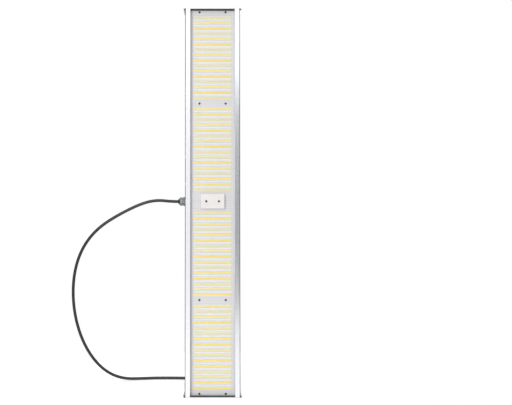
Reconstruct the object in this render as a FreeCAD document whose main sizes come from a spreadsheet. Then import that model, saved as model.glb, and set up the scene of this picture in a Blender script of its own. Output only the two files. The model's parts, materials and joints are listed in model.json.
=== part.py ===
"""LED grow bar: an extruded aluminium frame with finned heat sinks, two LED boards and a glanded lead.

Frame: +Z runs up along the bar, the LED face looks to -Y and the fins to +Y.
The origin is the middle of the lower end face. Millimetres.
"""

import FreeCAD, Part
import Sketcher

import math
import os
import re

SIZES = {
    # whole bar
    "bar_length": 1200,
    "bar_width": 170,
    "bar_depth": 60,
    # side rails
    "rail_front": 16,
    "rail_back": 27,
    "rail_wall": 2.5,
    "edge_bevel": 2,
    "line_width": 1.2,
    "line_depth": 0.8,
    "back_slope": 6,
    "port_side": 7,
    "slot_inset": 11,
    "slot_mouth": 8,
    "slot_lip": 2.5,
    "slot_width": 14,
    "slot_hollow": 7,
    # end plates
    "plate_thick": 2,
    "gasket_thick": 1.5,
    "gasket_inset": 0.2,
    "ear_reach": 5,
    "ear_drop": 8,
    # heat sinks
    "base_front": 14,
    "base_thick": 6,
    "base_grip": 3,
    "groove_slip": 0.15,
    "trough_radius": 123,
    "trough_floor": 1,
    "plate_floor": 4,
    "fin_thick": 2,
    "fin_pitch": 8.1,
    "fin_count": 46,
    "fin_start": 7,
    "wide_pitch": 10.4,
    "wide_count": 19,
    "wide_start": 28,
    "flange_thick": 1.2,
    "flange_gap": 1.6,
    "fin_gap": 2.8,
    "sink_joint": 223,
    # straps over the fins and the cover of the wiring bay
    "strap_offset": 406,
    "strap_width": 18,
    "strap_thick": 2,
    "strap_gap": 0.4,
    "bay_width": 47,
    "bay_level": 14,
    "bay_sheet": 1.5,
    "bay_open": 7,
    # LED boards
    "board_half": 68.4,
    "board_thick": 1.6,
    "pad_thick": 1,
    "board_gap": 0.5,
    "end_gap": 2,
    "led_row_half": 57.6,
    "led_row_width": 5.8,
    "led_thick": 0.9,
    "row_pitch": 16.75,
    "inner_rows": 36.5,
    "outer_rows": 322.5,
    # terminal cover on the LED face
    "cover_width": 75,
    "cover_height": 46,
    "cover_thick": 9.4,
    "cover_wall": 1.6,
    "cover_round": 2.7,
    "cover_screw": 19.4,
    "post_radius": 3.6,
    "feed_radius": 5,
    # gland and lead
    "gland_level": 2,
    "lead_radius": 4.75,
    "core_radius": 1.2,
    "core_offset": 2.2,
    "gland_thread": 10,
    "gland_bore": 5.15,
    "gland_flats": 26,
    "nut_flats": 24,
    # coil and plug
    "coil_radius": 52.25,
    "coil_centre": 142,
    "coil_across": -30,
    "plug_radius": 10,
    "plug_lift": 10.3,
}

doc = FreeCAD.newDocument("led_grow_light")
sheet = doc.addObject("Spreadsheet::Sheet", "Sizes")
for line, (alias, number) in enumerate(SIZES.items(), start=1):
    sheet.set(f"A{line}", alias)
    sheet.set(f"B{line}", str(number))
    sheet.setAlias(f"B{line}", alias)
doc.recompute()

X_AXIS = FreeCAD.Vector(1, 0, 0)
Y_AXIS = FreeCAD.Vector(0, 1, 0)
Z_AXIS = FreeCAD.Vector(0, 0, 1)
MIDDLE = "bar_length / 2"
sub_parts = []


def bound(text):
    """The text of a size with each cell's name written as the sheet's own."""
    return re.sub(r"[a-z]+(_[a-z]+)+", lambda found: "Sizes." + found.group(), str(text))


def worth(text):
    """What a size comes to, in millimetres."""
    answer = sheet.evalExpression(bound(text))
    return float(getattr(answer, "Value", answer))


def bind(thing, prop, text):
    thing.setExpression(prop, bound(text))


def place(thing, x, y, z, axis=Z_AXIS, angle=0):
    """Puts a thing's own corner or centre at a bound place, turned about an axis."""
    thing.Placement = FreeCAD.Placement(FreeCAD.Vector(), FreeCAD.Rotation(axis, angle))
    for name, text in (("x", x), ("y", y), ("z", z)):
        bind(thing, f"Placement.Base.{name}", text)
    return thing


def keep(thing, label):
    """Names a finished sub-part."""
    thing.Label = label
    sub_parts.append(thing)
    return thing


def box(length, width, height, x, y, z):
    """A block whose lowest corner is at x, y, z."""
    block = doc.addObject("Part::Box", "Block")
    bind(block, "Length", length)
    bind(block, "Width", width)
    bind(block, "Height", height)
    return place(block, x, y, z)


def along(thing, direction, x, y, z):
    """Turns a round or hexagonal piece, made along +Z, to point another way."""
    turns = {"+z": (X_AXIS, 0), "-z": (X_AXIS, 180), "+x": (Y_AXIS, 90), "-x": (Y_AXIS, -90),
             "+y": (X_AXIS, -90), "-y": (X_AXIS, 90)}
    return place(thing, x, y, z, *turns[direction])


def rod(radius, length, direction, x, y, z):
    """A cylinder that starts at x, y, z and runs in a direction."""
    piece = doc.addObject("Part::Cylinder", "Rod")
    bind(piece, "Radius", radius)
    bind(piece, "Height", length)
    return along(piece, direction, x, y, z)


def taper(first, last, length, direction, x, y, z):
    """A cone from one radius to another."""
    piece = doc.addObject("Part::Cone", "Taper")
    bind(piece, "Radius1", first)
    bind(piece, "Radius2", last)
    bind(piece, "Height", length)
    return along(piece, direction, x, y, z)


def hexagon(flats, length, direction, x, y, z):
    """A hexagonal bar with a size across its flats."""
    piece = doc.addObject("Part::Prism", "Hexagon")
    piece.Polygon = 6
    bind(piece, "Circumradius", f"({flats}) / sqrt(3)")
    bind(piece, "Height", length)
    return along(piece, direction, x, y, z)


def joined(pieces):
    union = doc.addObject("Part::MultiFuse", "Union")
    union.Shapes = pieces
    return union


def less(base, tools):
    """A piece with others cut out of it."""
    rest = doc.addObject("Part::Cut", "Rest")
    rest.Base = base
    rest.Tool = tools[0] if len(tools) == 1 else joined(tools)
    return rest


def shared(first, second):
    both = doc.addObject("Part::Common", "Shared")
    both.Base = first
    both.Tool = second
    return both


def group(pieces):
    """Separate solids that are one node."""
    several = doc.addObject("Part::Compound", "Group")
    several.Links = pieces
    return several


def outline(sketch, corners):
    """A closed run of lines whose corners are each bound to the sheet."""
    first = sketch.GeometryCount
    spots = [FreeCAD.Vector(worth(x), worth(y), 0) for x, y in corners]
    for start, end in zip(spots, spots[1:] + spots[:1]):
        sketch.addGeometry(Part.LineSegment(start, end), False)
    total = len(corners)
    for number, (x, y) in enumerate(corners):
        line = first + number
        sketch.addConstraint(Sketcher.Constraint("Coincident", line, 2, first + (number + 1) % total, 1))
        for kind, text in (("DistanceX", x), ("DistanceY", y)):
            made = sketch.addConstraint(Sketcher.Constraint(kind, -1, 1, line, 1, worth(text)))
            sketch.setExpression(f"Constraints[{made}]", bound(text))


def new_body():
    return doc.addObject("PartDesign::Body", "Body")


def flat_sketch(body, level):
    """A sketch across the bar at a height."""
    plane = next(item for item in body.Origin.OriginFeatures if item.Role == "XY_Plane")
    sketch = body.newObject("Sketcher::SketchObject", "Outline")
    sketch.AttachmentSupport = (plane, "")
    sketch.MapMode = "FlatFace"
    bind(sketch, "AttachmentOffset.Base.z", level)
    return sketch


def pad(body, sketch, length):
    grown = body.newObject("PartDesign::Pad", "Pad")
    grown.Profile = sketch
    bind(grown, "Length", length)
    return grown


def extrusion(corner_lists, level, length):
    """A body padded up the bar from one or more outlines: the first is solid, the others are hollows."""
    body = new_body()
    sketch = flat_sketch(body, level)
    for corners in corner_lists:
        outline(sketch, corners)
    pad(body, sketch, length)
    return body


def sided(side, corners):
    """Corners drawn for the +X side, or their mirror image for the -X side."""
    if side == "+x":
        return corners
    return [(f"-({x})", y) for x, y in reversed(corners)]


# --- side rails ---------------------------------------------------------------------------------

OUTER = "bar_width / 2"
FRONT = "-bar_depth / 2"
BACK = "bar_depth / 2"
RAIL_IN_FRONT = "bar_width / 2 - rail_front"
RAIL_IN_BACK = "bar_width / 2 - rail_back"
SLOT_MIDDLE = "bar_width / 2 - slot_inset"
SLOT_BOTTOM = "bar_depth / 2 - slot_lip - slot_hollow"
BASE_BACK = "base_thick - base_front"
BASE_EDGE = "bar_width / 2 - rail_front + base_grip"
GROOVE_EDGE = f"{BASE_EDGE} + groove_slip"
GROOVE_BACK = f"{BASE_BACK} + groove_slip"
GROOVE_FRONT = "-base_front - groove_slip"
RAIL_LENGTH = "bar_length - 2 * plate_thick"
LINE_MIDDLE = "bar_width / 2 - rail_front / 2"


def slot_corners():
    """The T-slot in a rail's back, from its outer lip to its inner one."""
    mouth = "slot_mouth / 2"
    half = "slot_width / 2"
    lip = "bar_depth / 2 - slot_lip"
    return [
        (f"{SLOT_MIDDLE} + {mouth}", BACK), (f"{SLOT_MIDDLE} + {mouth}", lip),
        (f"{SLOT_MIDDLE} + {half}", lip), (f"{SLOT_MIDDLE} + {half}", SLOT_BOTTOM),
        (f"{SLOT_MIDDLE} - {half}", SLOT_BOTTOM), (f"{SLOT_MIDDLE} - {half}", lip),
        (f"{SLOT_MIDDLE} - {mouth}", lip), (f"{SLOT_MIDDLE} - {mouth}", BACK),
    ]


def rail_outside():
    """The rail's section: a front lip, a groove for the heat sink's edge, and the slotted back."""
    line = "line_width / 2"
    sunk = f"{FRONT} + line_depth"
    return [
        (RAIL_IN_FRONT, FRONT),
        (f"{LINE_MIDDLE} - {line}", FRONT), (f"{LINE_MIDDLE} - {line}", sunk),
        (f"{LINE_MIDDLE} + {line}", sunk), (f"{LINE_MIDDLE} + {line}", FRONT),
        (f"{OUTER} - edge_bevel", FRONT), (OUTER, f"{FRONT} + edge_bevel"),
        (OUTER, f"{BACK} - edge_bevel"), (f"{OUTER} - edge_bevel", BACK),
        *slot_corners(),
        (f"{RAIL_IN_BACK} + back_slope", BACK), (RAIL_IN_BACK, f"{BACK} - back_slope"),
        (RAIL_IN_BACK, GROOVE_BACK), (GROOVE_EDGE, GROOVE_BACK),
        (GROOVE_EDGE, GROOVE_FRONT), (RAIL_IN_FRONT, GROOVE_FRONT),
    ]


def rail_hollow():
    """The hollow inside the section. It leaves two square ports for the end plate's screws."""
    right = f"{OUTER} - rail_wall"
    low = f"{FRONT} + rail_wall"
    high = f"{SLOT_BOTTOM} - rail_wall"
    left = f"{RAIL_IN_BACK} + rail_wall"
    step = f"{GROOVE_EDGE} + rail_wall"
    return [
        (f"{RAIL_IN_FRONT} + rail_wall", low), (f"{right} - port_side", low),
        (f"{right} - port_side", f"{low} + port_side"), (right, f"{low} + port_side"),
        (right, high), (f"{left} + port_side", high),
        (f"{left} + port_side", f"{high} - port_side"), (left, f"{high} - port_side"),
        (left, f"{GROOVE_BACK} + rail_wall"), (step, f"{GROOVE_BACK} + rail_wall"),
        (step, f"{GROOVE_FRONT} - rail_wall"), (f"{RAIL_IN_FRONT} + rail_wall", f"{GROOVE_FRONT} - rail_wall"),
    ]


SCREW_RADIUS = 1.75
SCREW_HOLE = 1.85
SCREW_LENGTH = 16
SCREW_HEAD = 3.6
HEAD_DEPTH = 1.8
PORTS = [
    ("bar_width / 2 - rail_wall - port_side / 2", "-bar_depth / 2 + rail_wall + port_side / 2"),
    ("bar_width / 2 - rail_back + rail_wall + port_side / 2",
     "bar_depth / 2 - slot_lip - slot_hollow - rail_wall - port_side / 2"),
]


def port_spots():
    """Every place across the bar where a screw enters a rail's end."""
    return [(f"{sign}({x})", y) for x, y in PORTS for sign in ("", "-")]


def rail(side, label):
    body = extrusion([sided(side, rail_outside()), sided(side, rail_hollow())], "plate_thick", RAIL_LENGTH)
    sign = "" if side == "+x" else "-"
    holes = []
    for x, y in PORTS:
        holes.append(rod(SCREW_HOLE, SCREW_LENGTH + 1, "+z", f"{sign}({x})", y, 0))
        holes.append(rod(SCREW_HOLE, SCREW_LENGTH + 1, "-z", f"{sign}({x})", y, "bar_length"))
    if side == "-x":
        outside = f"-({OUTER}) - 1"
        holes.append(rod("gland_thread + 0.15", "rail_wall + 3", "+x", outside, "gland_level", MIDDLE))
        inside = f"-({RAIL_IN_BACK}) - rail_wall - 1"
        holes.append(rod("lead_radius + 0.6", "rail_wall + 2", "+x", inside, "gland_level", MIDDLE))
        holes.append(rod(PLUG_STEM + 0.1, "rail_wall + 2", "+x", inside, PLUG_LEVEL, PLUG_HEIGHT))
    return keep(less(body, holes), label)


# --- hole plug on the rail's inner wall ---------------------------------------------------------

PLUG_STEM = 2.6
PLUG_HEAD = 3.4
PLUG_LEVEL = 19.4
PLUG_HEIGHT = "bar_length / 2 + 5"


def rail_plug():
    """A moulded button that closes a spare hole above the wiring cover."""
    face = f"-({RAIL_IN_BACK})"
    stem = rod(PLUG_STEM, "rail_wall", "-x", face, PLUG_LEVEL, PLUG_HEIGHT)
    head = taper(PLUG_HEAD, 2.4, 2, "+x", face, PLUG_LEVEL, PLUG_HEIGHT)
    return keep(joined([stem, head]), "rail_plug")


# --- end plates ---------------------------------------------------------------------------------


def trough(radius, floor, level, length):
    """The round tool that hollows the back of the bar between its rails."""
    return rod(radius, length, "+z", 0, f"({floor}) + ({radius})", level)


def plate_corners():
    half = [
        (f"{OUTER} - edge_bevel", FRONT), (OUTER, f"{FRONT} + edge_bevel"),
        (OUTER, f"{BACK} - edge_bevel"), (f"{OUTER} - edge_bevel", BACK),
        (f"{SLOT_MIDDLE} + slot_width / 2", BACK), (f"{SLOT_MIDDLE} + slot_width / 2", SLOT_BOTTOM),
        (f"{SLOT_MIDDLE} - slot_width / 2", SLOT_BOTTOM), (f"{SLOT_MIDDLE} - slot_width / 2", BACK),
        (f"{RAIL_IN_BACK} + back_slope", BACK), (RAIL_IN_BACK, f"{BACK} - back_slope"),
    ]
    return half + sided("-x", half)


def ear(side, end):
    """A wedge that hooks over the rail's outer corner and runs the depth of the bar."""
    body = new_body()
    plane = next(item for item in body.Origin.OriginFeatures if item.Role == "XZ_Plane")
    sketch = body.newObject("Sketcher::SketchObject", "Outline")
    sketch.AttachmentSupport = (plane, "")
    sketch.MapMode = "FlatFace"
    tip = f"{OUTER} + ear_reach"
    foot = f"{OUTER} + 0.1"
    if end == "top":
        edge, inner, shoulder = "bar_length", "bar_length - ear_drop", "bar_length - plate_thick"
    else:
        edge, inner, shoulder = "0", "ear_drop", "plate_thick"
    corners = [(f"{OUTER} - 1", edge), (tip, edge), (tip, shoulder), (foot, inner), (foot, shoulder),
               (f"{OUTER} - 1", shoulder)]
    outline(sketch, sided(side, corners))
    grown = pad(body, sketch, "bar_depth - 4")
    grown.Midplane = True
    root = f"{OUTER} - 1"
    depth = "bar_depth / 2 - edge_bevel"
    shoulders = [(root, f"-({depth})"), (OUTER, f"-({depth})"), (tip, f"-({depth}) + ear_reach"),
                 (tip, f"{depth} - ear_reach"), (OUTER, depth), (root, depth)]
    plan = extrusion([sided(side, shoulders)], f"{edge} - ear_drop - 1", "2 * ear_drop + 2")
    return shared(body, plan)


def end_plate(end, label):
    level = "0" if end == "bottom" else "bar_length - plate_thick"
    plate = extrusion([plate_corners()], level, "plate_thick")
    cuts = [trough("trough_radius", "plate_floor", f"{level} - 1", "plate_thick + 2")]
    for x, y in port_spots():
        cuts.append(rod(SCREW_HOLE, "plate_thick + 2", "+z", x, y, f"{level} - 1"))
        if end == "bottom":
            cuts.append(taper(SCREW_HEAD + 0.15, SCREW_HOLE, HEAD_DEPTH, "+z", x, y, 0))
        else:
            cuts.append(taper(SCREW_HEAD + 0.15, SCREW_HOLE, HEAD_DEPTH, "-z", x, y, "bar_length"))
    solid = joined([less(plate, cuts), ear("+x", end), ear("-x", end)])
    return keep(solid, label)


def socket_screw(direction, x, y, z, head, depth, radius, length):
    """A countersunk screw with a hexagonal socket; z is where its flat head face lies."""
    cone = taper(head, radius, depth, direction, x, y, z)
    shank = rod(radius, length, direction, x, y, z)
    socket = hexagon(2.2, 1.2, direction, x, y, z)
    return less(joined([cone, shank]), [socket])


def end_plate_screws():
    screws = []
    for x, y in port_spots():
        screws.append(socket_screw("+z", x, y, 0.1, SCREW_HEAD, HEAD_DEPTH, SCREW_RADIUS, SCREW_LENGTH))
        screws.append(socket_screw("-z", x, y, "bar_length - 0.1", SCREW_HEAD, HEAD_DEPTH, SCREW_RADIUS,
                                   SCREW_LENGTH))
    return keep(group(screws), "end_plate_screws")


def end_gasket(label, level):
    """A black seal inside an end plate, across the mouth of the LED face."""
    half = f"({RAIL_IN_FRONT}) - gasket_inset"
    depth = "bar_depth / 2 - gasket_inset - base_front"
    keep(box(f"2 * ({half})", depth, "gasket_thick", f"-({half})", f"{FRONT} + gasket_inset", level), label)


# --- heat sinks ---------------------------------------------------------------------------------

SINK_LOW = "bar_length / 2 - sink_joint"
SINK_HIGH = "bar_length / 2 + sink_joint"
BOARD_FRONT = "-base_front - pad_thick - board_thick"
BOARD_SCREW_X = 40.6
BOARD_SCREW_END = 9
BOARD_SCREW_INNER = 304.5
BOARD_HOLE = 1.6


def board_screw_levels():
    return [str(BOARD_SCREW_END), f"{MIDDLE} - {BOARD_SCREW_INNER}", f"{MIDDLE} + {BOARD_SCREW_INNER}",
            f"bar_length - {BOARD_SCREW_END}"]


def face_holes():
    """Everything that passes through the base, the pads and the boards from the LED face."""
    start = f"{BOARD_FRONT} - 1"
    depth = "base_thick + pad_thick + board_thick + 2"
    holes = [rod(BOARD_HOLE, depth, "+y", sign * BOARD_SCREW_X, start, level)
             for level in board_screw_levels() for sign in (1, -1)]
    holes += [rod(BOARD_HOLE, depth, "+y", f"{sign}cover_screw", start, MIDDLE) for sign in ("", "-")]
    holes.append(rod("feed_radius", depth, "+y", 0, start, MIDDLE))
    return holes


def finned(body, first, count, pitch):
    """Pads one fin across the base and repeats it up the bar."""
    sketch = flat_sketch(body, first)
    side = f"{RAIL_IN_BACK} - groove_slip"
    outline(sketch, [(f"-({side})", f"{BASE_BACK} - 1"), (side, f"{BASE_BACK} - 1"),
                     (side, "bar_depth / 3"), (f"-({side})", "bar_depth / 3")])
    fin = pad(body, sketch, "fin_thick")
    doc.recompute()
    row = body.newObject("PartDesign::LinearPattern", "Fins")
    row.Originals = [fin]
    row.Direction = (sketch, ["N_Axis"])
    bind(row, "Occurrences", count)
    bind(row, "Length", f"({pitch}) * (({count}) - 1)")
    body.Tip = row
    return row


def heatsink(low, high, fin_rows, label, flanges):
    half = f"{BASE_EDGE}"
    body = extrusion([[(f"-({half})", "-base_front"), (half, "-base_front"), (half, BASE_BACK),
                       (f"-({half})", BASE_BACK)]], low, f"({high}) - ({low})")
    for first, count, pitch in fin_rows:
        finned(body, first, count, pitch)
    hollow = trough("trough_radius", "trough_floor", f"{low} - 1", f"({high}) - ({low}) + 2")
    sink = less(body, [hollow, *face_holes()])
    return keep(joined([sink, *flanges]), label)


def fin_flanges(first, count, pitch, gap, open_end):
    """The folded tops of a row of fins: a curved skin slit between one fin and the next."""
    length = f"{pitch} * {count}"
    start = f"{first} + fin_thick / 2 - {pitch} / 2"
    middle = "trough_floor + trough_radius"
    ring = less(rod("trough_radius + flange_thick", length, "+z", 0, middle, start),
                [rod("trough_radius", f"{length} + 2", "+z", 0, middle, f"{start} - 1")])
    left = f"-({RAIL_IN_BACK}) + groove_slip"
    width = f"2 * ({RAIL_IN_BACK}) - groove_slip - {open_end}"
    window = box(width, "bar_depth / 2", length, left, 0, start)
    slits = [box("bar_width", "bar_depth", gap, f"-{OUTER}", FRONT,
                 f"{start} + {pitch} * {number} - {gap} / 2")
             for number in range(int(worth(count)) + 1)]
    return less(shared(ring, window), slits)


def heatsinks():
    outer = ("fin_count", "fin_pitch")
    inner = ("wide_count", "wide_pitch")
    lowest = "plate_thick + fin_start"
    highest = "bar_length - plate_thick - fin_start - fin_thick - fin_pitch * (fin_count - 1)"
    heatsink("plate_thick", SINK_LOW, [(lowest, *outer)], "heatsink_lower",
             [fin_flanges(lowest, *outer, "fin_gap", "groove_slip")])
    heatsink(SINK_HIGH, "bar_length - plate_thick", [(highest, *outer)], "heatsink_upper",
             [fin_flanges(highest, *outer, "fin_gap", "groove_slip")])
    firsts = (f"{MIDDLE} + wide_start", f"{MIDDLE} - wide_start - fin_thick - wide_pitch * (wide_count - 1)")
    heatsink(SINK_LOW, SINK_HIGH, [(first, *inner) for first in firsts], "heatsink_centre",
             [fin_flanges(first, *inner, "flange_gap", "bay_open") for first in firsts])


def cross_strap(sign, label):
    """A smooth curved strap that lies in the trough, over the fins."""
    outside = "trough_radius - strap_gap"
    level = f"{MIDDLE} {sign} strap_offset - strap_width / 2"
    middle = "trough_floor + trough_radius"
    ring = less(rod(outside, "strap_width", "+z", 0, middle, level),
                [rod(f"{outside} - strap_thick", "strap_width + 2", "+z", 0, middle, f"{level} - 1")])
    half = f"{RAIL_IN_BACK} - groove_slip"
    window = box(f"2 * ({half})", "bar_depth / 2", "strap_width", f"-({half})", 0, level)
    return keep(shared(ring, window), label)


def wiring_cover():
    """The folded sheet over the wiring bay: a flat top and two flanges that stand on the base."""
    left = f"-({RAIL_IN_BACK}) + 0.3"
    width = f"2 * ({RAIL_IN_BACK}) - 0.3 - bay_open"
    low = f"{MIDDLE} - bay_width / 2"
    top = box(width, "bay_sheet", "bay_width", left, "bay_level", low)
    height = f"bay_level - ({BASE_BACK})"
    lower = box(width, height, "bay_sheet", left, BASE_BACK, low)
    upper = box(width, height, "bay_sheet", left, BASE_BACK, f"{MIDDLE} + bay_width / 2 - bay_sheet")
    return keep(joined([top, lower, upper]), "wiring_cover")


# --- LED boards ---------------------------------------------------------------------------------


def board_layers():
    layers = (("thermal_pad", "-base_front - pad_thick", "pad_thick"),
              ("led_board", BOARD_FRONT, "board_thick"))
    halves = (("lower", "plate_thick + end_gap", f"{MIDDLE} - board_gap / 2"),
              ("upper", f"{MIDDLE} + board_gap / 2", "bar_length - plate_thick - end_gap"))
    for name, front, thick in layers:
        for half, low, high in halves:
            blank = box("2 * board_half", thick, f"({high}) - ({low})", "-board_half", front, low)
            keep(less(blank, face_holes()), f"{name}_{half}")


ROWS_IN_GROUP = 16


def led_rows(count, shift, label_start):
    """Bars, each a whole row of LEDs, mirrored about the middle of the bar."""
    for half, sign in (("upper", "+"), ("lower", "-")):
        rows = []
        for group_start in ("inner_rows", "outer_rows"):
            for number in range(count):
                away = f"({group_start} + row_pitch * {number + shift})"
                rows.append(box("2 * led_row_half", "led_thick", "led_row_width", "-led_row_half",
                                f"{BOARD_FRONT} - led_thick",
                                f"{MIDDLE} {sign} {away} - led_row_width / 2"))
        keep(group(rows), f"{label_start}_{half}")


PAN_RADIUS = 3.3
PAN_TOP_RADIUS = 2.8
PAN_DEPTH = 1.9
PAN_SHANK = 1.5
PAN_FLATS = 2.5
BOARD_SCREW_LENGTH = 8
COVER_SCREW_LENGTH = 17


def pan_screw(x, z, seat, length):
    """A pan-head screw that enters the LED face along +Y, with a hexagonal socket 1 deep."""
    cap = taper(PAN_RADIUS, PAN_TOP_RADIUS, PAN_DEPTH, "-y", x, seat, z)
    shank = rod(PAN_SHANK, length, "+y", x, seat, z)
    socket = hexagon(PAN_FLATS, 1.1, "-y", x, f"({seat}) - {PAN_DEPTH} + 1", z)
    return less(joined([cap, shank]), [socket])


def board_screws():
    screws = [pan_screw(sign * BOARD_SCREW_X, level, BOARD_FRONT, BOARD_SCREW_LENGTH)
              for level in board_screw_levels() for sign in (1, -1)]
    return keep(group(screws), "board_screws")


# --- terminal cover and what it hides -----------------------------------------------------------

COVER_FRONT = f"{BOARD_FRONT} - cover_thick"


def terminal_cover():
    low = f"{MIDDLE} - cover_height / 2"
    shell = box("cover_width", "cover_thick", "cover_height", "-cover_width / 2", COVER_FRONT, low)
    rounded = doc.addObject("Part::Fillet", "Rounded")
    rounded.Base = shell
    doc.recompute()
    radius = worth("cover_round")
    rounded.Edges = [(number, radius, radius) for number, edge in enumerate(shell.Shape.Edges, start=1)
                     if not is_on_board(edge)]
    inner = box("cover_width - 2 * cover_wall", "cover_thick - cover_wall", "cover_height - 2 * cover_wall",
                "-cover_width / 2 + cover_wall", f"{COVER_FRONT} + cover_wall", f"{low} + cover_wall")
    hollowed = less(rounded, [inner])
    posts = []
    holes = []
    for sign in ("", "-"):
        across = f"{sign}cover_screw"
        posts.append(rod("post_radius", "cover_thick - 0.1", "+y", across, f"{COVER_FRONT} + 0.1", MIDDLE))
        holes.append(rod(BOARD_HOLE, "cover_thick + 2", "+y", across, f"{COVER_FRONT} - 1", MIDDLE))
    return keep(less(joined([hollowed, *posts]), holes), "terminal_cover")


def is_on_board(edge):
    """True for the four edges of the cover that lie on the board."""
    return edge.BoundBox.YMin > worth(BOARD_FRONT) - 0.01


def terminal_cover_screws():
    screws = [pan_screw(f"{sign}cover_screw", MIDDLE, COVER_FRONT, COVER_SCREW_LENGTH) for sign in ("", "-")]
    return keep(group(screws), "terminal_cover_screws")


BLOCK_WIDTH = 20
BLOCK_DEPTH = 6.4
BLOCK_HEIGHT = 13
WELL_RADIUS = 1.8
WELL_DEPTH = 2.4


def terminal_block():
    """A two-way block in front of the feed hole, with a screw well over each core."""
    front = f"{BOARD_FRONT} - {BLOCK_DEPTH}"
    low = f"{MIDDLE} - {BLOCK_HEIGHT / 2}"
    body = box(BLOCK_WIDTH, BLOCK_DEPTH, BLOCK_HEIGHT, -BLOCK_WIDTH / 2, front, low)
    wells = [rod(WELL_RADIUS, WELL_DEPTH + 0.1, "+y", sign * BLOCK_WIDTH / 4, f"{front} - 0.1", MIDDLE)
             for sign in (1, -1)]
    return keep(less(body, wells), "terminal_block")


# --- free and held leads ------------------------------------------------------------------------


def tube_path(points):
    """Straight runs joined by tangent arcs, and the radius of each arc."""
    spots = [FreeCAD.Vector(*point) for point in points]
    edges = []
    radii = []
    reached = spots[0]
    for before, corner, after in zip(spots, spots[1:], spots[2:]):
        inward = (before - corner).normalize()
        onward = (after - corner).normalize()
        turn = math.pi - inward.getAngle(onward)
        back_off = 0.45 * min((before - corner).Length, (after - corner).Length)
        radius = back_off / math.tan(turn / 2)
        radii.append(radius)
        start = corner + inward * back_off
        end = corner + onward * back_off
        halfway = (inward + onward).normalize()
        depth = math.hypot(radius, back_off) - radius
        edges.append(Part.LineSegment(reached, start).toShape())
        edges.append(Part.Arc(start, corner + halfway * depth, end).toShape())
        reached = end
    edges.append(Part.LineSegment(reached, spots[-1]).toShape())
    return Part.Wire(edges), radii


def tube(points, radius_name, label):
    """A round lead along its route."""
    path, radii = tube_path(points)
    radius = worth(radius_name)
    start = FreeCAD.Vector(*points[0])
    ahead = FreeCAD.Vector(*points[1]) - start
    ring = Part.Wire([Part.makeCircle(radius, start, ahead)])
    solid = path.makePipeShell([ring], True, False)
    lead = doc.addObject("Part::Feature", "Lead")
    lead.Shape = Part.Solid(solid) if solid.ShapeType == "Shell" else solid
    expected = math.pi * radius ** 2 * path.Length
    print(f"{label}: length {path.Length:.1f}, volume {lead.Shape.Volume / expected:.4f} of section x length,"
          f" radii {', '.join(f'{value:.0f}' for value in radii)}")
    return keep(lead, label)


def cores():
    """The two cores from the sheath's end, through the feed hole, to the terminal block."""
    for name, offset in (("core_positive", "core_offset"), ("core_negative", "-core_offset")):
        level = worth(f"{MIDDLE} + {offset}")
        depth = worth("gland_level")
        tube([(SHEATH_END, depth, level), (0, depth, level), (0, worth(BOARD_FRONT), level)],
             "core_radius", name)


SHEATH_END = -48
LEAD_EXIT = -107.5

# The lead's free run, from the gland to the coil behind the bar: x, y, z of each point.
LEAD_ROUTE = [
    (LEAD_EXIT, 2, 600),
    (-134, 2, 600.5),
    (-163, 2, 604),
    (-193, 3, 601.5),
    (-224, 5, 592.5),
    (-257, 8, 578),
    (-292, 12, 560),
    (-327, 17, 540),
    (-361, 24, 515.5),
    (-391, 33, 485),
    (-416, 43, 448),
    (-435, 55, 404),
    (-447, 68, 354),
    (-452, 82, 300),
    (-450, 97, 244),
    (-441, 112, 189),
    (-425, 127, 137),
    (-402, 142, 90),
    (-372, 157, 50),
    (-335, 171, 21),
    (-293, 183, 6.5),
    (-247, 192.5, 4.9),
    (-199, 199, 5.1),
    (-151, 201.5, 4.9),
    (-104, 199, 5),
    (-64, 195, 4.9),
    (-30, 194.25, 4.9),
]

# From the top of the coil to the plug.
TAIL_ROUTE = [
    (-30, 194.25, 14.3),
    (-13, 194.6, 13.4),
    (3, 196.2, 11.2),
    (20, 199.2, 10.3),
]


def lead_coil():
    """The outer shape of the lead's two turns, one on the other."""
    height = "4 * lead_radius"
    outer = rod("coil_radius + lead_radius", height, "+z", "coil_across", "coil_centre", 0.1)
    inner = rod("coil_radius - lead_radius", "4 * lead_radius + 2", "+z", "coil_across", "coil_centre", -1)
    return keep(less(outer, [inner]), "lead_coil")


# --- gland --------------------------------------------------------------------------------------

RAIL_FACE = "-bar_width / 2"
WASHER_RADIUS = 12.6
WASHER_THICK = 1.5
COLLAR_THICK = 5
INNER_THREAD = 9
OUTER_THREAD = 8
OUTER_THREAD_RADIUS = 8.6
SEAL_RADIUS = 6.6
SEAL_BORE = 5.05
SEAL_LENGTH = 6.5
SEAL_POCKET = 5
LOCKNUT_THICK = 4.5
CLAW_START = 2.3
CLAW_LENGTH = 4
CLAW_BORE = 5.2
CLAW_RADII = (8.3, 6.9)
CLAW_SLIT = 0.8
NUT_FLAT_LENGTH = 9.5
NUT_CONE_LENGTH = 4
NUT_NOSE_LENGTH = 2
NUT_BORE = 5.25
NUT_SHOULDER = 8.8
NUT_NOSE = 7
NUT_THREAD = 8.95


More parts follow.
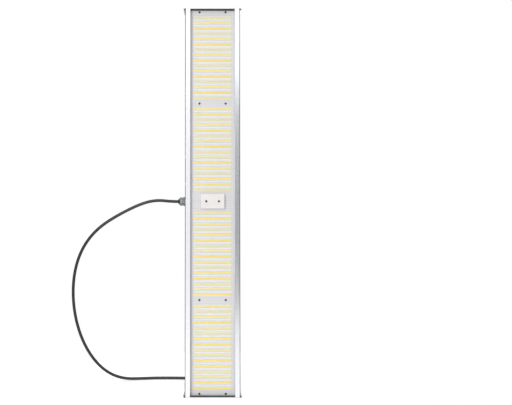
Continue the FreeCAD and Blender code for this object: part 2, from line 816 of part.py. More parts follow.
def gland():
    """A cable gland through the rail: body, washer, locknut, seal, claw and dome nut."""
    y = "gland_level"
    z = MIDDLE
    collar = f"{RAIL_FACE} - {WASHER_THICK}"
    thread = f"{collar} - {COLLAR_THICK}"
    tip = f"{thread} - {OUTER_THREAD}"
    wall_inside = f"{RAIL_FACE} + rail_wall"

    body = joined([
        shared(hexagon("gland_flats", COLLAR_THICK, "-x", collar, y, z),
               taper("gland_flats / 2 + 1.9", "gland_flats / 2 + 0.4", COLLAR_THICK, "-x", collar, y, z)),
        rod("gland_thread", INNER_THREAD + WASHER_THICK, "+x", collar, y, z),
        rod(OUTER_THREAD_RADIUS, OUTER_THREAD, "-x", thread, y, z),
    ])
    bores = [rod("gland_bore", 60, "+x", f"{tip} - 1", y, z),
             rod(SEAL_RADIUS + 0.4, SEAL_POCKET + 1, "+x", f"{tip} - 1", y, z)]
    keep(less(body, bores), "gland_body")

    washer = less(rod(WASHER_RADIUS, WASHER_THICK, "-x", RAIL_FACE, y, z),
                  [rod("gland_thread + 0.15", WASHER_THICK + 2, "-x", f"{RAIL_FACE} + 1", y, z)])
    keep(washer, "gland_washer")

    locknut = less(hexagon("gland_flats", LOCKNUT_THICK, "+x", wall_inside, y, z),
                   [rod("gland_thread + 0.05", LOCKNUT_THICK + 2, "+x", f"{wall_inside} - 1", y, z)])
    keep(locknut, "gland_locknut")

    seat = f"{tip} + {SEAL_POCKET} - 0.2"
    seal = less(rod(SEAL_RADIUS, SEAL_LENGTH, "-x", seat, y, z),
                [rod(SEAL_BORE, SEAL_LENGTH + 2, "-x", f"{seat} + 1", y, z)])
    keep(seal, "gland_seal")

    claw_start = f"{tip} - {CLAW_START}"
    bore = rod(CLAW_BORE, CLAW_LENGTH + 2, "-x", f"{claw_start} + 1", y, z)
    claw = less(taper(*CLAW_RADII, CLAW_LENGTH, "-x", claw_start, y, z), [bore, *claw_slits(claw_start, y, z)])
    keep(claw, "gland_claw")

    nut_start = f"{thread} - 0.3"
    cone_start = f"({nut_start}) - {NUT_FLAT_LENGTH}"
    nose_start = f"({cone_start}) - {NUT_CONE_LENGTH}"
    flats = NUT_FLAT_LENGTH + 0.2
    shell = joined([
        shared(hexagon("nut_flats", flats, "-x", nut_start, y, z),
               taper("nut_flats / 2 + 0.5", "nut_flats / 2 + 1.6", flats, "-x", nut_start, y, z)),
        taper("nut_flats / 2 - 0.3", NUT_SHOULDER, NUT_CONE_LENGTH, "-x", cone_start, y, z),
        taper(NUT_SHOULDER, NUT_NOSE, NUT_NOSE_LENGTH, "-x", nose_start, y, z),
    ])
    bores = [rod(NUT_THREAD, NUT_FLAT_LENGTH + 0.9, "-x", f"{nut_start} + 1", y, z),
             taper(NUT_THREAD, NUT_NOSE + 0.1, 5, "-x", f"{nut_start} - {NUT_FLAT_LENGTH} + 0.1", y, z),
             rod(NUT_BORE, 30, "-x", nut_start, y, z)]
    keep(less(shell, bores), "gland_dome_nut")


def claw_slits(start, y, z):
    """Three cuts right across the claw's outer end leave six fingers."""
    slits = []
    for angle in (0, 60, 120):
        slit = box(3, 20, CLAW_SLIT, 0, 0, 0)
        turned = FreeCAD.Rotation(X_AXIS, angle)
        corner = turned.multVec(FreeCAD.Vector(0, -10, -CLAW_SLIT / 2))
        slit.Placement = FreeCAD.Placement(FreeCAD.Vector(), turned)
        bind(slit, "Placement.Base.x", f"({start}) - {CLAW_LENGTH} - 0.1")
        bind(slit, "Placement.Base.y", f"({y}) + {corner.y:.4f}")
        bind(slit, "Placement.Base.z", f"({z}) + {corner.z:.4f}")
        slits.append(slit)
    return slits


# --- plug on the lead's end ---------------------------------------------------------------------


# Half sections of the turned pieces: distance along the plug from the lead's end, and radius.
PLUG_RELIEF = [(0, 0), (0, 5.6), (3, 6), (14, 7.2), (18, 7.6), (18, 0)]
PLUG_BODY = [
    (18, 0), (18, 8.4), (20, 8.8), (27, 8.8), (27, 7.2), (38.6, 7.2), (38.6, 8), (40, 8),
    (40, 6.6), (49, 6.6), (49, 5.4), (36, 5.4), (36, 0),
]
PLUG_RING_START = 27.4
PLUG_RING_END = 50.8
PLUG_RING_LIP = 38.2
PLUG_RING_BORE = 7.5
PLUG_RING_WALL = 1.6
PIN_START = 36
PIN_LENGTH = 10
PIN_RADIUS = 1
PIN_OFFSET = 2.2


def ring_section():
    """The turning ring: a sleeve whose inner lip sits behind the body's flange."""
    radius = worth("plug_radius")
    inner = radius - PLUG_RING_WALL
    return [(PLUG_RING_START, PLUG_RING_BORE), (PLUG_RING_START, radius - 0.6), (PLUG_RING_START + 0.6, radius),
            (PLUG_RING_END - 0.8, radius), (PLUG_RING_END, radius - 0.8), (PLUG_RING_END, inner),
            (PLUG_RING_LIP, inner), (PLUG_RING_LIP, PLUG_RING_BORE)]


def plug():
    """A round waterproof plug: bend relief, body, turning ring and contacts. Its axis leaves the tail's end."""
    end = FreeCAD.Vector(*TAIL_ROUTE[-1])
    ahead = end - FreeCAD.Vector(*TAIL_ROUTE[-2])
    heading = math.degrees(math.atan2(ahead.y, ahead.x))
    end.z = worth("plug_lift")
    frame = FreeCAD.Placement(end, FreeCAD.Rotation(Z_AXIS, heading))

    for section, label in ((PLUG_RELIEF, "plug_bend_relief"), (PLUG_BODY, "plug_body"),
                           (ring_section(), "plug_ring")):
        spots = [FreeCAD.Vector(run, radius, 0) for run, radius in section]
        face = Part.Face(Part.makePolygon(spots + spots[:1]))
        piece = doc.addObject("Part::Feature", "Turned")
        piece.Shape = face.revolve(FreeCAD.Vector(), X_AXIS, 360)
        piece.Placement = frame
        keep(piece, label)

    pins = [Part.makeCylinder(PIN_RADIUS, PIN_LENGTH, FreeCAD.Vector(PIN_START, side * PIN_OFFSET, 0), X_AXIS)
            for side in (1, -1)]
    contacts = doc.addObject("Part::Feature", "Contacts")
    contacts.Shape = Part.makeCompound(pins)
    contacts.Placement = frame
    keep(contacts, "plug_contacts")


# --- build, check and write ---------------------------------------------------------------------

rail("-x", "left_side_rail")
rail("+x", "right_side_rail")
rail_plug()
end_plate("top", "upper_end_plate")
end_plate("bottom", "lower_end_plate")
end_plate_screws()
end_gasket("upper_gasket", "bar_length - plate_thick - gasket_thick")
end_gasket("lower_gasket", "plate_thick")
heatsinks()
cross_strap("+", "upper_cross_strap")
cross_strap("-", "lower_cross_strap")
wiring_cover()
board_layers()
led_rows(ROWS_IN_GROUP, 0, "yellow_leds")
led_rows(ROWS_IN_GROUP - 1, 0.5, "white_leds")
board_screws()
terminal_cover()
terminal_cover_screws()
terminal_block()
cores()
gland()
keep(rod("lead_radius", SHEATH_END - LEAD_EXIT, "-x", SHEATH_END, "gland_level", MIDDLE), "lead_inner")
tube(LEAD_ROUTE, "lead_radius", "supply_lead")
lead_coil()
tube(TAIL_ROUTE, "lead_radius", "lead_tail")
plug()
doc.recompute()

for thing in doc.Objects:
    if "Invalid" in thing.State or "Error" in thing.State:
        raise RuntimeError(f"{thing.Label} ({thing.Name}) did not build: {thing.State}")
for piece in sub_parts:
    if piece.Shape.isNull() or not piece.Shape.isValid():
        raise RuntimeError(f"{piece.Label} has no valid shape")

os.makedirs("parts", exist_ok=True)
for piece in sub_parts:
    piece.Shape.exportStep(f"parts/{piece.Label}.step")
print(f"{len(sub_parts)} sub-parts written")
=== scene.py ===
"""The finished look of the LED grow bar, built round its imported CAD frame.

Metres. +Z runs up along the bar, the LED face looks to -Y and the fins to +Y.
"""

import json
import math
import random

import bmesh
import bpy
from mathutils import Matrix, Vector


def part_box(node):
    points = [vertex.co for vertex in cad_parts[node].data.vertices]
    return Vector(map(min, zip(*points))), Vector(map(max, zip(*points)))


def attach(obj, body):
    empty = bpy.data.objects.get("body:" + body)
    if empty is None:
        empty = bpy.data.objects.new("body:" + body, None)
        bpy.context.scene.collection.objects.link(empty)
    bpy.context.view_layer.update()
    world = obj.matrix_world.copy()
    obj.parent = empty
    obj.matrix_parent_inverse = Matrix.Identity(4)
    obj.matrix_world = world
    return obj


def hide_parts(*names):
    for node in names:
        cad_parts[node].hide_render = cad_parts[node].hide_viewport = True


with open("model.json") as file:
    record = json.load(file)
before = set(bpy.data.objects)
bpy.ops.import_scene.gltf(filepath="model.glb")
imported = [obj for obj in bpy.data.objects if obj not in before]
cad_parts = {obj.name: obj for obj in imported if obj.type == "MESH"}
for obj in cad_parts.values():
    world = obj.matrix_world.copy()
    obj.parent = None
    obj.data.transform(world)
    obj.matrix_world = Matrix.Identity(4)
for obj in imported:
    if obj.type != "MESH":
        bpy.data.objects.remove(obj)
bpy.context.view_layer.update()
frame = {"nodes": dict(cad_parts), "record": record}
nodes = frame["nodes"]
random.seed(11)


# --- camera, stage and light --------------------------------------------------------------------

rail_low, rail_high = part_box("left_side_rail")
MIDDLE = (rail_low.z + rail_high.z) / 2
CAMERA_DISTANCE = 2.0
CAMERA_RISE = math.radians(1.7)
CAMERA_LENS = 45.03
CAMERA_SHIFT = 0.0848
AIM_DROP = 0.003
HORIZON_GLOW = 0.44
OVERHEAD_GLOW = 0.8
SIDE_GLOW = 0.1
SIDE_FADE = (0.72, 0.94)
SPOT_GLOW = 0.5
SPOT_FADE = (0.945, 0.99)
DARK_SPOT = (0.09, -1, 0.01)
FLOOR_RADIUS = 0.66
FLOOR_GLOW = 0.42
FLOOR_DROP = 0.0004
SENSOR_WIDTH = 36


def aimed(thing, spot, target):
    thing.location = spot
    thing.rotation_euler = (target - spot).to_track_quat("-Z", "Y").to_euler()


def make_camera():
    data = bpy.data.cameras.new("camera")
    data.lens = CAMERA_LENS
    data.sensor_width = SENSOR_WIDTH
    data.shift_x = CAMERA_SHIFT
    camera = bpy.data.objects.new("camera", data)
    bpy.context.scene.collection.objects.link(camera)
    target = Vector((0, 0, MIDDLE - AIM_DROP))
    back = Vector((0, -math.cos(CAMERA_RISE), -math.sin(CAMERA_RISE)))
    aimed(camera, target + back * CAMERA_DISTANCE, target)
    bpy.context.scene.camera = camera


def make_light(name, spot, target, size, power):
    data = bpy.data.lights.new(name, "AREA")
    data.shape = "RECTANGLE"
    data.size, data.size_y = size
    data.energy = power
    light = bpy.data.objects.new(name, data)
    light.visible_camera = False
    bpy.context.scene.collection.objects.link(light)
    aimed(light, Vector(spot), Vector(target))


def make_world():
    """A white tent round the bar: plain to the camera, darker to the bar's sides and near the lens."""
    world = bpy.data.worlds.new("studio")
    bpy.context.scene.world = world
    world.use_nodes = True
    tree = world.node_tree
    tree.nodes.clear()

    def node(kind, **sockets):
        made = tree.nodes.new(f"ShaderNode{kind}")
        for name, value in sockets.items():
            made.inputs[name.replace("_", " ")].default_value = value
        return made

    def link(source, target, socket=0):
        tree.links.new(source, target.inputs[socket])

    place = node("TexCoord")
    split = node("SeparateXYZ")
    link(place.outputs["Generated"], split)
    aside = node("Math")
    aside.operation = "ABSOLUTE"
    link(split.outputs["X"], aside)
    sides = node("MapRange", From_Min=SIDE_FADE[0], From_Max=SIDE_FADE[1], To_Min=1.0, To_Max=SIDE_GLOW)
    link(aside.outputs[0], sides, "Value")
    level = node("Math")
    level.operation = "ABSOLUTE"
    link(split.outputs["Z"], level)
    rise = node("MapRange", From_Min=0.0, From_Max=1.0, To_Min=HORIZON_GLOW, To_Max=OVERHEAD_GLOW)
    link(level.outputs[0], rise, "Value")
    toward = node("VectorMath")
    toward.operation = "DOT_PRODUCT"
    link(place.outputs["Generated"], toward)
    toward.inputs[1].default_value = Vector(DARK_SPOT).normalized()
    spot = node("MapRange", From_Min=SPOT_FADE[0], From_Max=SPOT_FADE[1], To_Min=1.0, To_Max=SPOT_GLOW)
    link(toward.outputs["Value"], spot, "Value")
    shade = node("Math")
    shade.operation = "MULTIPLY"
    link(sides.outputs["Result"], shade, 0)
    link(spot.outputs["Result"], shade, 1)
    strength = node("Math")
    strength.operation = "MULTIPLY"
    link(shade.outputs[0], strength, 0)
    link(rise.outputs["Result"], strength, 1)
    lit = node("Background", Color=(0.97, 0.98, 1, 1))
    link(strength.outputs[0], lit, "Strength")
    seen = node("Background", Color=(1, 1, 1, 1), Strength=1.0)
    path = node("LightPath")
    mix = node("MixShader")
    link(path.outputs["Is Camera Ray"], mix, "Fac")
    link(lit.outputs[0], mix, 1)
    link(seen.outputs[0], mix, 2)
    output = node("OutputWorld")
    link(mix.outputs[0], output, "Surface")


def make_floor():
    """A white disc that glows a little, so only the bar's own shadow shows on it."""
    mesh = bpy.data.meshes.new("floor")
    edge = [(FLOOR_RADIUS * math.cos(math.radians(angle)), FLOOR_RADIUS * math.sin(math.radians(angle)), 0)
            for angle in range(0, 360, 5)]
    mesh.from_pydata(edge, [], [tuple(range(len(edge)))])
    floor = bpy.data.objects.new("floor", mesh)
    bpy.context.scene.collection.objects.link(floor)
    floor.location.z = -FLOOR_DROP
    floor.visible_glossy = False
    material = bpy.data.materials.new("floor_white")
    material.use_nodes = True
    shader = material.node_tree.nodes["Principled BSDF"]
    shader.inputs["Base Color"].default_value = (0.75, 0.75, 0.75, 1)
    shader.inputs["Roughness"].default_value = 0.9
    shader.inputs["Specular IOR Level"].default_value = 0.0
    shader.inputs["Emission Color"].default_value = (1, 1, 1, 1)
    shader.inputs["Emission Strength"].default_value = FLOOR_GLOW
    mesh.materials.append(material)


bpy.context.scene.view_settings.view_transform = "Standard"
make_camera()
make_world()
make_floor()
make_light("card", (-0.78, -2.25, 0.6), (-0.78, 0, 0.6), (1.5, 3.0), 14)
make_light("high_card", (0.6, -2.25, 1.85), (0.6, 0, 1.85), (1.1, 0.9), 4.2)
make_light("low_card", (0.6, -2.25, -0.5), (0.6, 0, -0.5), (1.1, 0.9), 3.2)
make_light("key", (-1.25, -2.3, 1.3), (0, 0, 0.6), (0.22, 0.7), 24)
make_light("back_card", (0.2, 2.6, 0.6), (0.2, 0, 0.6), (2.0, 3.0), 14)
make_light("back_key", (1.4, 2.2, 1.5), (0, 0, 0.6), (0.3, 0.6), 12)
make_light("top", (0, 0.2, 3.2), (0, 0, 0), (2.4, 2.4), 12)


# --- materials ----------------------------------------------------------------------------------


class Look:
    """A material's node tree, with short ways to add what most of them share."""

    def __init__(self, name, color, roughness, metallic=0.0):
        self.material = bpy.data.materials.new(name)
        self.material.use_nodes = True
        self.tree = self.material.node_tree
        self.shader = self.tree.nodes["Principled BSDF"]
        self.shader.inputs["Base Color"].default_value = (*color, 1)
        self.shader.inputs["Roughness"].default_value = roughness
        self.shader.inputs["Metallic"].default_value = metallic
        self.color = color
        self.roughness = roughness
        self.bumps = None

    def set(self, **sockets):
        for name, value in sockets.items():
            self.shader.inputs[name.replace("_", " ")].default_value = value
        return self

    def coordinates(self, stretch=(1, 1, 1)):
        """The bar's own coordinates, stretched."""
        place = self.tree.nodes.new("ShaderNodeTexCoord")
        scale = self.tree.nodes.new("ShaderNodeMapping")
        scale.inputs["Scale"].default_value = stretch
        self.tree.links.new(place.outputs["Object"], scale.inputs["Vector"])
        return scale.outputs["Vector"]

    def noise(self, size, stretch=(1, 1, 1), detail=3.0):
        """Noise whose blotches are about size metres across."""
        noise = self.tree.nodes.new("ShaderNodeTexNoise")
        noise.inputs["Scale"].default_value = 1 / size
        noise.inputs["Detail"].default_value = detail
        self.tree.links.new(self.coordinates(stretch), noise.inputs["Vector"])
        return noise.outputs["Fac"]

    def spread(self, source, low, high):
        """Maps a 0 to 1 value onto low to high."""
        span = self.tree.nodes.new("ShaderNodeMapRange")
        span.inputs["From Min"].default_value = 0.3
        span.inputs["From Max"].default_value = 0.7
        span.inputs["To Min"].default_value = low
        span.inputs["To Max"].default_value = high
        self.tree.links.new(source, span.inputs["Value"])
        return span.outputs["Result"]

    def vary_roughness(self, source, amount):
        value = self.spread(source, self.roughness - amount, self.roughness + amount)
        self.tree.links.new(value, self.shader.inputs["Roughness"])
        return self

    def vary_color(self, source, other):
        """Blends the base colour with another by a 0 to 1 value."""
        mix = self.tree.nodes.new("ShaderNodeMix")
        mix.data_type = "RGBA"
        mix.inputs["A"].default_value = (*self.color, 1)
        mix.inputs["B"].default_value = (*other, 1)
        self.tree.links.new(self.spread(source, 0, 1), mix.inputs["Factor"])
        self.tree.links.new(mix.outputs["Result"], self.shader.inputs["Base Color"])
        return self

    def bump(self, source, height, strength=0.5):
        node = self.tree.nodes.new("ShaderNodeBump")
        node.inputs["Strength"].default_value = strength
        node.inputs["Distance"].default_value = height
        self.tree.links.new(source, node.inputs["Height"])
        if self.bumps is not None:
            self.tree.links.new(self.bumps, node.inputs["Normal"])
        self.bumps = node.outputs["Normal"]
        self.tree.links.new(self.bumps, self.shader.inputs["Normal"])
        return self


def metal(name, color, roughness, stretch, grain=0.0006, depth=0.00001):
    """Aluminium or steel with a fine grain that runs one way and a slow change of tone."""
    look = Look(name, color, roughness, 1.0)
    streaks = look.noise(grain, stretch, 2.0)
    cloud = look.noise(0.12, (1, 1, 0.25), 1.0)
    look.vary_color(cloud, tuple(value * 0.96 for value in color))
    look.vary_roughness(streaks, 0.035)
    look.bump(streaks, depth, 0.2)
    return look


ALONG_BAR = (1, 1, 0.004)
ACROSS_BAR = (0.01, 1, 1)


def moulded(name, color, roughness, grain=0.0005, depth=0.00003):
    """Moulded plastic: a fine even texture and a faint change of tone."""
    look = Look(name, color, roughness)
    look.vary_color(look.noise(0.02, detail=2.0), tuple(value * 0.95 for value in color))
    look.vary_roughness(look.noise(0.004), 0.05)
    look.bump(look.noise(grain), depth, 0.4)
    return look


LED_PITCH = 0.0068
LED_COLUMNS = 17
ROW_STEP = 0.008375
MASK_WHITE = (0.66, 0.655, 0.67)
# Colour and width of the darker lines painted as shade in the gaps between the LED packages.
MASK_SHADE_LINE = (0.54, 0.535, 0.555)
SHADE_LINE_WIDTH = 0.0004


def board_look():
    """White mask over the board, with a grid of darker, slightly raised lines at the LED pitch: painted
    shade in the gaps between the packages.
    """
    look = Look("solder_mask", MASK_WHITE, 0.32)
    look.set(Coat_Weight=0.25, Coat_Roughness=0.2)
    # A grid at the LED pitch whose lines are painted shade between the packages.
    shade_lines = look.tree.nodes.new("ShaderNodeTexBrick")
    shade_lines.offset = 0
    shade_lines.inputs["Scale"].default_value = 1
    shade_lines.inputs["Brick Width"].default_value = LED_PITCH
    shade_lines.inputs["Row Height"].default_value = ROW_STEP
    shade_lines.inputs["Mortar Size"].default_value = SHADE_LINE_WIDTH
    shade_lines.inputs["Mortar Smooth"].default_value = 0.6
    turned = look.tree.nodes.new("ShaderNodeMapping")
    turned.inputs["Rotation"].default_value = (math.radians(90), 0, 0)
    turned.inputs["Location"].default_value = (LED_PITCH / 2, 0, 0)
    look.tree.links.new(look.coordinates(), turned.inputs["Vector"])
    look.tree.links.new(turned.outputs["Vector"], shade_lines.inputs["Vector"])
    mix = look.tree.nodes.new("ShaderNodeMix")
    mix.data_type = "RGBA"
    mix.inputs["A"].default_value = (*MASK_WHITE, 1)
    mix.inputs["B"].default_value = (*MASK_SHADE_LINE, 1)
    look.tree.links.new(shade_lines.outputs["Fac"], mix.inputs["Factor"])
    look.tree.links.new(mix.outputs["Result"], look.shader.inputs["Base Color"])
    look.bump(shade_lines.outputs["Fac"], 0.00004, 0.4)
    look.bump(look.noise(0.0012), 0.00001, 0.3)
    return look


def phosphor(name, color, deeper):
    """Phosphor under clear silicone: an uneven tone below a smooth coat."""
    look = Look(name, color, 0.38)
    look.vary_color(look.noise(0.011, detail=1.0), deeper)
    look.set(Coat_Weight=0.2, Coat_Roughness=0.12)
    look.bump(look.noise(0.0007), 0.00003, 0.3)
    return look


def rubber(name, color, roughness):
    look = Look(name, color, roughness)
    look.set(Sheen_Weight=0.12, Sheen_Roughness=0.4)
    look.vary_color(look.noise(0.03, detail=2.0), tuple(value * 1.5 for value in color))
    look.vary_roughness(look.noise(0.003), 0.08)
    look.bump(look.noise(0.0004), 0.00003, 0.35)
    return look


looks = {
    "rail_aluminium": metal("anodised_rail", (0.82, 0.83, 0.85), 0.24, ALONG_BAR),
    "plate_aluminium": metal("end_plate_metal", (0.78, 0.79, 0.80), 0.36, ACROSS_BAR),
    # One heat sink aluminium in two tones: the 0.50 copy is darkened as painted shade on the outer fins,
    # and the 0.90 copy is lightened as painted light on the centre fins.
    "sink_aluminium": metal("shaded_fin_metal", (0.50, 0.51, 0.53), 0.42, ACROSS_BAR),
    "bright_aluminium": metal("lit_centre_fin_metal", (0.90, 0.90, 0.91), 0.4, ACROSS_BAR),
    "sheet_aluminium": metal("sheet_metal", (0.66, 0.67, 0.68), 0.46, ACROSS_BAR),
    "board_white": board_look(),
    "thermal_pad": rubber("pad_silicone", (0.42, 0.46, 0.52), 0.7),
    "warm_phosphor": phosphor("warm_phosphor", (0.96, 0.77, 0.03), (0.95, 0.80, 0.07)),
    "pale_phosphor": phosphor("pale_phosphor", (0.74, 0.73, 0.76), (0.78, 0.76, 0.78)),
    "screw_steel": metal("screw_steel", (0.05, 0.05, 0.055), 0.45, (1, 1, 1)),
    "cover_cream": moulded("cream_cover", (0.79, 0.755, 0.735), 0.5),
    "block_plastic": moulded("block_plastic", (0.60, 0.61, 0.58), 0.5),
    "plug_white": moulded("white_plug", (0.88, 0.88, 0.87), 0.45),
    "core_red": moulded("red_core", (0.45, 0.02, 0.02), 0.4),
    "core_black": moulded("black_core", (0.02, 0.02, 0.02), 0.4),
    "gland_metal": metal("nickel_gland", (0.30, 0.31, 0.33), 0.2, (1, 1, 1), 0.0008, 0.00001),
    "gland_nylon": moulded("gland_nylon", (0.08, 0.08, 0.085), 0.5),
    # Black rubber. On the bend relief this is the real colour. On the strips along the end plates' inner
    # faces, the black is painted shade where those faces are in shade.
    "seal_rubber": rubber("seal_rubber", (0.02, 0.02, 0.02), 0.6),
    "lead_sheath": rubber("lead_sheath", (0.018, 0.019, 0.022), 0.42),
    "plug_black": moulded("plug_black", (0.022, 0.022, 0.024), 0.4),
    "contact_brass": metal("contact_brass", (0.75, 0.60, 0.30), 0.3, (1, 1, 1)),
}

slot_of = {part["node"]: part["material_slot"] for part in frame["record"]["subparts"]}


def dress(thing, slot_name):
    """Gives a piece its slot's material, whatever it had."""
    thing.data.materials.clear()
    thing.data.materials.append(looks[slot_name].material)


for node, thing in nodes.items():
    dress(thing, slot_of[node])


# --- crisp edges on the metal and moulded CAD pieces ---------------------------------------------

EDGE_ROUND = {
    "left_side_rail": 0.0004,
    "right_side_rail": 0.0004,
    "upper_end_plate": 0.0004,
    "lower_end_plate": 0.0004,
    "heatsink_upper": 0.00025,
    "heatsink_centre": 0.00025,
    "heatsink_lower": 0.00025,
    "wiring_cover": 0.0003,
    "upper_cross_strap": 0.0003,
    "lower_cross_strap": 0.0003,
    "gland_body": 0.0003,
    "gland_dome_nut": 0.0003,
    "board_screws": 0.00015,
    "terminal_cover_screws": 0.00015,
}


WELD_REACH = 0.000002
ROUNDED_ABOVE = math.radians(35)


def ease_edges(node, width):
    thing = nodes[node]
    weld = thing.modifiers.new("weld", "WELD")
    weld.merge_threshold = WELD_REACH
    bevel = thing.modifiers.new("bevel", "BEVEL")
    bevel.width = width
    bevel.segments = 2
    bevel.limit_method = "ANGLE"
    bevel.angle_limit = ROUNDED_ABOVE
    bevel.use_clamp_overlap = True


for node, width in EDGE_ROUND.items():
    ease_edges(node, width)


# --- the lead -----------------------------------------------------------------------------------

# The free run from the gland to the coil, as in the CAD model.
LEAD_ROUTE = [
    (-0.1075, 0.002, 0.6),
    (-0.134, 0.002, 0.6005),
    (-0.163, 0.002, 0.604),
    (-0.193, 0.003, 0.6015),
    (-0.224, 0.005, 0.5925),
    (-0.257, 0.008, 0.578),
    (-0.292, 0.012, 0.56),
    (-0.327, 0.017, 0.54),
    (-0.361, 0.024, 0.5155),
    (-0.391, 0.033, 0.485),
    (-0.416, 0.043, 0.448),
    (-0.435, 0.055, 0.404),
    (-0.447, 0.068, 0.354),
    (-0.452, 0.082, 0.3),
    (-0.45, 0.097, 0.244),
    (-0.441, 0.112, 0.189),
    (-0.425, 0.127, 0.137),
    (-0.402, 0.142, 0.09),
    (-0.372, 0.157, 0.05),
    (-0.335, 0.171, 0.021),
    (-0.293, 0.183, 0.0065),
    (-0.247, 0.1925, 0.0049),
    (-0.199, 0.199, 0.0051),
    (-0.151, 0.2015, 0.0049),
    (-0.104, 0.199, 0.005),
    (-0.064, 0.195, 0.0049),
    (-0.03, 0.19425, 0.0049),
]
TAIL_ROUTE = [
    (-0.013, 0.1946, 0.0136),
    (0.003, 0.1962, 0.0112),
    (0.02, 0.1992, 0.0103),
]
LEAD_RADIUS = 0.00475
COIL_TURNS = 2
POINTS_A_TURN = 16
# Where in the turns the lead climbs onto itself, in turns, and how far it strays from a circle.
CLIMB_START = 0.62
CLIMB_LENGTH = 0.34
WOBBLE = 0.0006
WOBBLE_RATE = 2.3


def coil_points():
    """The lead's turns behind the bar: the first on the floor, the second on top of it."""
    low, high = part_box("lead_coil")
    middle = (low + high) / 2
    radius = (high.x - low.x) / 2 - LEAD_RADIUS
    control = radius / math.cos(math.pi / POINTS_A_TURN)
    bottom = LEAD_ROUTE[-1][2]
    top = bottom + 2 * LEAD_RADIUS
    points = []
    total = COIL_TURNS * POINTS_A_TURN
    for step in range(1, total + 1):
        turn = step / POINTS_A_TURN
        climb = min(1, max(0, (turn - CLIMB_START) / CLIMB_LENGTH))
        climb = climb * climb * (3 - 2 * climb)
        ease = WOBBLE * math.sin(WOBBLE_RATE * turn * math.pi)
        angle = 2 * math.pi * turn
        reach = control + ease
        points.append((middle.x + reach * math.sin(angle), middle.y + reach * math.cos(angle),
                       bottom + (top - bottom) * climb))
    return points


def make_lead():
    curve = bpy.data.curves.new("supply_cable", "CURVE")
    curve.dimensions = "3D"
    curve.bevel_depth = LEAD_RADIUS
    curve.bevel_resolution = 7
    curve.resolution_u = 10
    curve.use_fill_caps = True
    points = LEAD_ROUTE + coil_points() + TAIL_ROUTE
    spline = curve.splines.new("NURBS")
    spline.points.add(len(points) - 1)
    for point, spot in zip(spline.points, points):
        point.co = (*spot, 1)
    spline.order_u = 3
    spline.use_endpoint_u = True
    lead = bpy.data.objects.new("supply_cable", curve)
    bpy.context.scene.collection.objects.link(lead)
    curve.materials.append(looks["lead_sheath"].material)
    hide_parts("supply_lead", "lead_coil", "lead_tail")
    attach(lead, "light")
    return lead


lead = make_lead()


# --- LED packages -------------------------------------------------------------------------------

PACKAGE_WIDE = 0.0063
PACKAGE_TALL = 0.0053
PACKAGE_DEEP = 0.00088
PAD_WIDE = 0.0052
PAD_TALL = 0.0058
PAD_DEEP = 0.00012
STRAY_ACROSS = 0.00006
STRAY_UP = 0.00008
# Which of a package's materials a face has.
BODY, PHOSPHOR, SOLDER_AND_SHADE = range(3)


def cut_corners(wide, tall, cut, depth):
    """Eight points of a rectangle with cut corners, at a depth in front of the board."""
    x, z = wide / 2, tall / 2
    flat = [(x - cut, -z), (x, -z + cut), (x, z - cut), (x - cut, z),
            (-x + cut, z), (-x, z - cut), (-x, -z + cut), (-x + cut, -z)]
    return [(a, -depth, b) for a, b in flat]


def package_mesh():
    """One LED: a white body with a sunken window, and a low dome of phosphor in the window."""
    rings = [
        cut_corners(PACKAGE_WIDE, PACKAGE_TALL, 0.0002, 0),
        cut_corners(PACKAGE_WIDE, PACKAGE_TALL, 0.0002, PACKAGE_DEEP - 0.0001),
        cut_corners(PACKAGE_WIDE - 0.0002, PACKAGE_TALL - 0.0002, 0.0002, PACKAGE_DEEP),
        cut_corners(PACKAGE_WIDE - 0.0006, PACKAGE_TALL - 0.0006, 0.0007, PACKAGE_DEEP),
        cut_corners(PACKAGE_WIDE - 0.0007, PACKAGE_TALL - 0.0007, 0.0007, PACKAGE_DEEP - 0.00012),
        cut_corners(PACKAGE_WIDE * 0.45, PACKAGE_TALL * 0.45, 0.0006, PACKAGE_DEEP - 0.00002),
    ]
    vertices = [point for ring in rings for point in ring]
    faces = []
    kinds = []
    for ring in range(len(rings) - 1):
        for side in range(8):
            a = ring * 8 + side
            b = ring * 8 + (side + 1) % 8
            faces.append((a, b, b + 8, a + 8))
            kinds.append(PHOSPHOR if ring == len(rings) - 2 else BODY)
    faces.append(tuple(range(8 * (len(rings) - 1), 8 * len(rings))))
    kinds.append(PHOSPHOR)
    # Pads that stick out past the body's top and bottom; their grey there is painted shade along the rows'
    # edges.
    for side in (1, -1):
        start = len(vertices)
        inner = side * (PACKAGE_TALL / 2 - 0.0002)
        outer = side * PAD_TALL / 2
        half = PAD_WIDE / 2
        vertices += [(-half, 0, outer), (half, 0, outer), (half, -PAD_DEEP, outer * 0.97),
                     (-half, -PAD_DEEP, outer * 0.97), (half, -PAD_DEEP * 1.6, inner),
                     (-half, -PAD_DEEP * 1.6, inner)]
        faces += [tuple(start + index for index in corners) for corners in ((0, 1, 2, 3), (3, 2, 4, 5))]
        kinds += [SOLDER_AND_SHADE, SOLDER_AND_SHADE]
    return vertices, faces, kinds


def row_levels(node):
    """The middle height of each row, read from the CAD bars."""
    heights = sorted({round(vertex.co.z, 5) for vertex in nodes[node].data.vertices})
    return [(low + high) / 2 for low, high in zip(heights[::2], heights[1::2])]


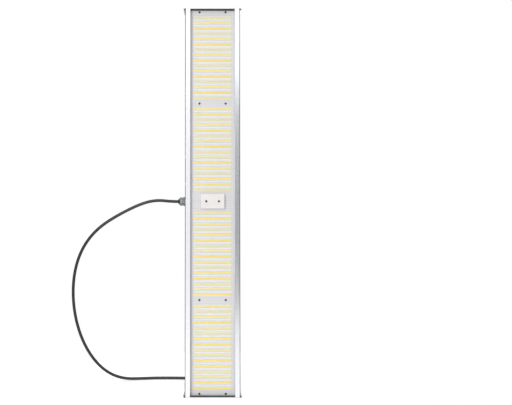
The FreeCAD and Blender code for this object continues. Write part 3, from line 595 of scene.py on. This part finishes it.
def make_packages(node, name, slot_name):
    vertices, faces, kinds = package_mesh()
    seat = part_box(node)[1].y
    all_vertices = []
    all_faces = []
    materials = []
    for level in row_levels(node):
        for column in range(LED_COLUMNS):
            across = (column - (LED_COLUMNS - 1) / 2) * LED_PITCH
            start = len(all_vertices)
            shift_x = random.uniform(-STRAY_ACROSS, STRAY_ACROSS)
            shift_z = random.uniform(-STRAY_UP, STRAY_UP)
            all_vertices += [(x + across + shift_x, y + seat, z + level + shift_z) for x, y, z in vertices]
            all_faces += [tuple(start + index for index in face) for face in faces]
            materials += kinds
    mesh = bpy.data.meshes.new(name)
    mesh.from_pydata(all_vertices, [], all_faces)
    mesh.materials.append(looks["package_body"].material)
    mesh.materials.append(looks[slot_name].material)
    mesh.materials.append(looks["solder_and_shade"].material)
    mesh.polygons.foreach_set("material_index", materials)
    mesh.update()
    thing = bpy.data.objects.new(name, mesh)
    bpy.context.scene.collection.objects.link(thing)
    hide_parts(node)
    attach(thing, "light")


# Grey pad metal. Where the pads stick out past the packages, this grey is painted shade along the rows'
# edges.
looks["solder_and_shade"] = metal("solder_and_shade", (0.52, 0.52, 0.55), 0.3, (1, 1, 1))
looks["package_body"] = moulded("package_body", (0.88, 0.87, 0.85), 0.4)
for half in ("upper", "lower"):
    make_packages(f"yellow_leds_{half}", f"yellow_packages_{half}", "warm_phosphor")
    make_packages(f"white_leds_{half}", f"white_packages_{half}", "pale_phosphor")


# --- turned plug pieces --------------------------------------------------------------------------


SHARP_ABOVE = math.radians(38)


def plug_frame():
    """The plug's start and its axis, from the lead's tail."""
    start = Vector(TAIL_ROUTE[-1])
    ahead = start - Vector(TAIL_ROUTE[-2])
    ahead.z = 0
    along = ahead.normalized()
    return start, along, Vector((-along.y, along.x, 0)), Vector((0, 0, 1))


def turned(name, rings, sides, slot_name, node, body):
    """A closed turned piece. Each ring is its distance along the plug and a radius for each side."""
    start, along, across, up = plug_frame()
    mesh = bpy.data.meshes.new(name)
    build = bmesh.new()
    loops = []
    for distance, radius_at in rings:
        loop = []
        for side in range(sides):
            angle = 2 * math.pi * side / sides
            reach = radius_at(side)
            spot = start + along * distance + (across * math.cos(angle) + up * math.sin(angle)) * reach
            loop.append(build.verts.new(spot))
        loops.append(loop)
    for first, second in zip(loops, loops[1:] + loops[:1]):
        for side in range(sides):
            following = (side + 1) % sides
            build.faces.new((first[side], first[following], second[following], second[side]))
    bmesh.ops.recalc_face_normals(build, faces=build.faces)
    build.to_mesh(mesh)
    build.free()
    mesh.shade_smooth()
    thing = bpy.data.objects.new(name, mesh)
    bpy.context.scene.collection.objects.link(thing)
    mesh.materials.append(looks[slot_name].material)
    mesh.set_sharp_from_angle(angle=SHARP_ABOVE)
    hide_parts(node)
    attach(thing, body)
    return thing


def round_at(radius):
    return lambda side: radius


def gripped(radius, depth, every):
    """A radius that dips between the ridges of a grip."""
    return lambda side: radius - (depth if side % every >= every - 2 else 0)


# The ring's bore, the inside of its wall, its outer radius and the depth of its grip.
RING_BORE = 0.0075
RING_INSIDE = 0.0084
RING_TOP = 0.01
RING_SHOULDER = RING_TOP - 0.0001
RING_GRIP = 0.0008
RING_SIDES = 108
SIDES_A_RIDGE = 6
# The relief's core, its ribs and how far apart they start.
RELIEF_CORE = 0.0005
RELIEF_RIBS = 6
RIB_FIRST = 0.0016
RIB_PITCH = 0.0023
RIB_GROOVE = 0.0008
RELIEF_SIDES = 48


def make_plug_ring():
    ridged = gripped(RING_TOP, RING_GRIP, SIDES_A_RIDGE)
    rings = [
        (0.0274, round_at(RING_BORE)), (0.0274, round_at(RING_TOP - 0.0007)),
        (0.028, round_at(RING_SHOULDER)),
        (0.0305, round_at(RING_SHOULDER)), (0.031, ridged), (0.0455, ridged),
        (0.046, round_at(RING_SHOULDER)), (0.05, round_at(RING_SHOULDER)),
        (0.0508, round_at(RING_TOP - 0.0008)), (0.0508, round_at(RING_INSIDE)),
        (0.0384, round_at(RING_INSIDE)), (0.0382, round_at(RING_BORE)),
    ]
    return turned("plug_ring_grip", rings, RING_SIDES, "plug_black", "plug_ring", "plug_collar")


def make_bend_relief():
    rings = [(0.0, round_at(RELIEF_CORE)), (0.0, round_at(0.0053)), (0.0004, round_at(0.0056))]
    for rib in range(RELIEF_RIBS):
        start = RIB_FIRST + rib * RIB_PITCH
        outer = 0.0057 + 0.0014 * (rib + 1) / RELIEF_RIBS
        rings += [(start, round_at(outer)), (start + 0.0002, round_at(outer - RIB_GROOVE)),
                  (start + 0.0008, round_at(outer - RIB_GROOVE)), (start + 0.001, round_at(outer))]
    rings += [(0.0174, round_at(0.0075)), (0.0178, round_at(0.0076)), (0.018, round_at(0.0072)),
              (0.018, round_at(RELIEF_CORE))]
    return turned("ribbed_bend_relief", rings, RELIEF_SIDES, "seal_rubber", "plug_bend_relief", "light")


plug_pieces = [make_plug_ring(), make_bend_relief()]
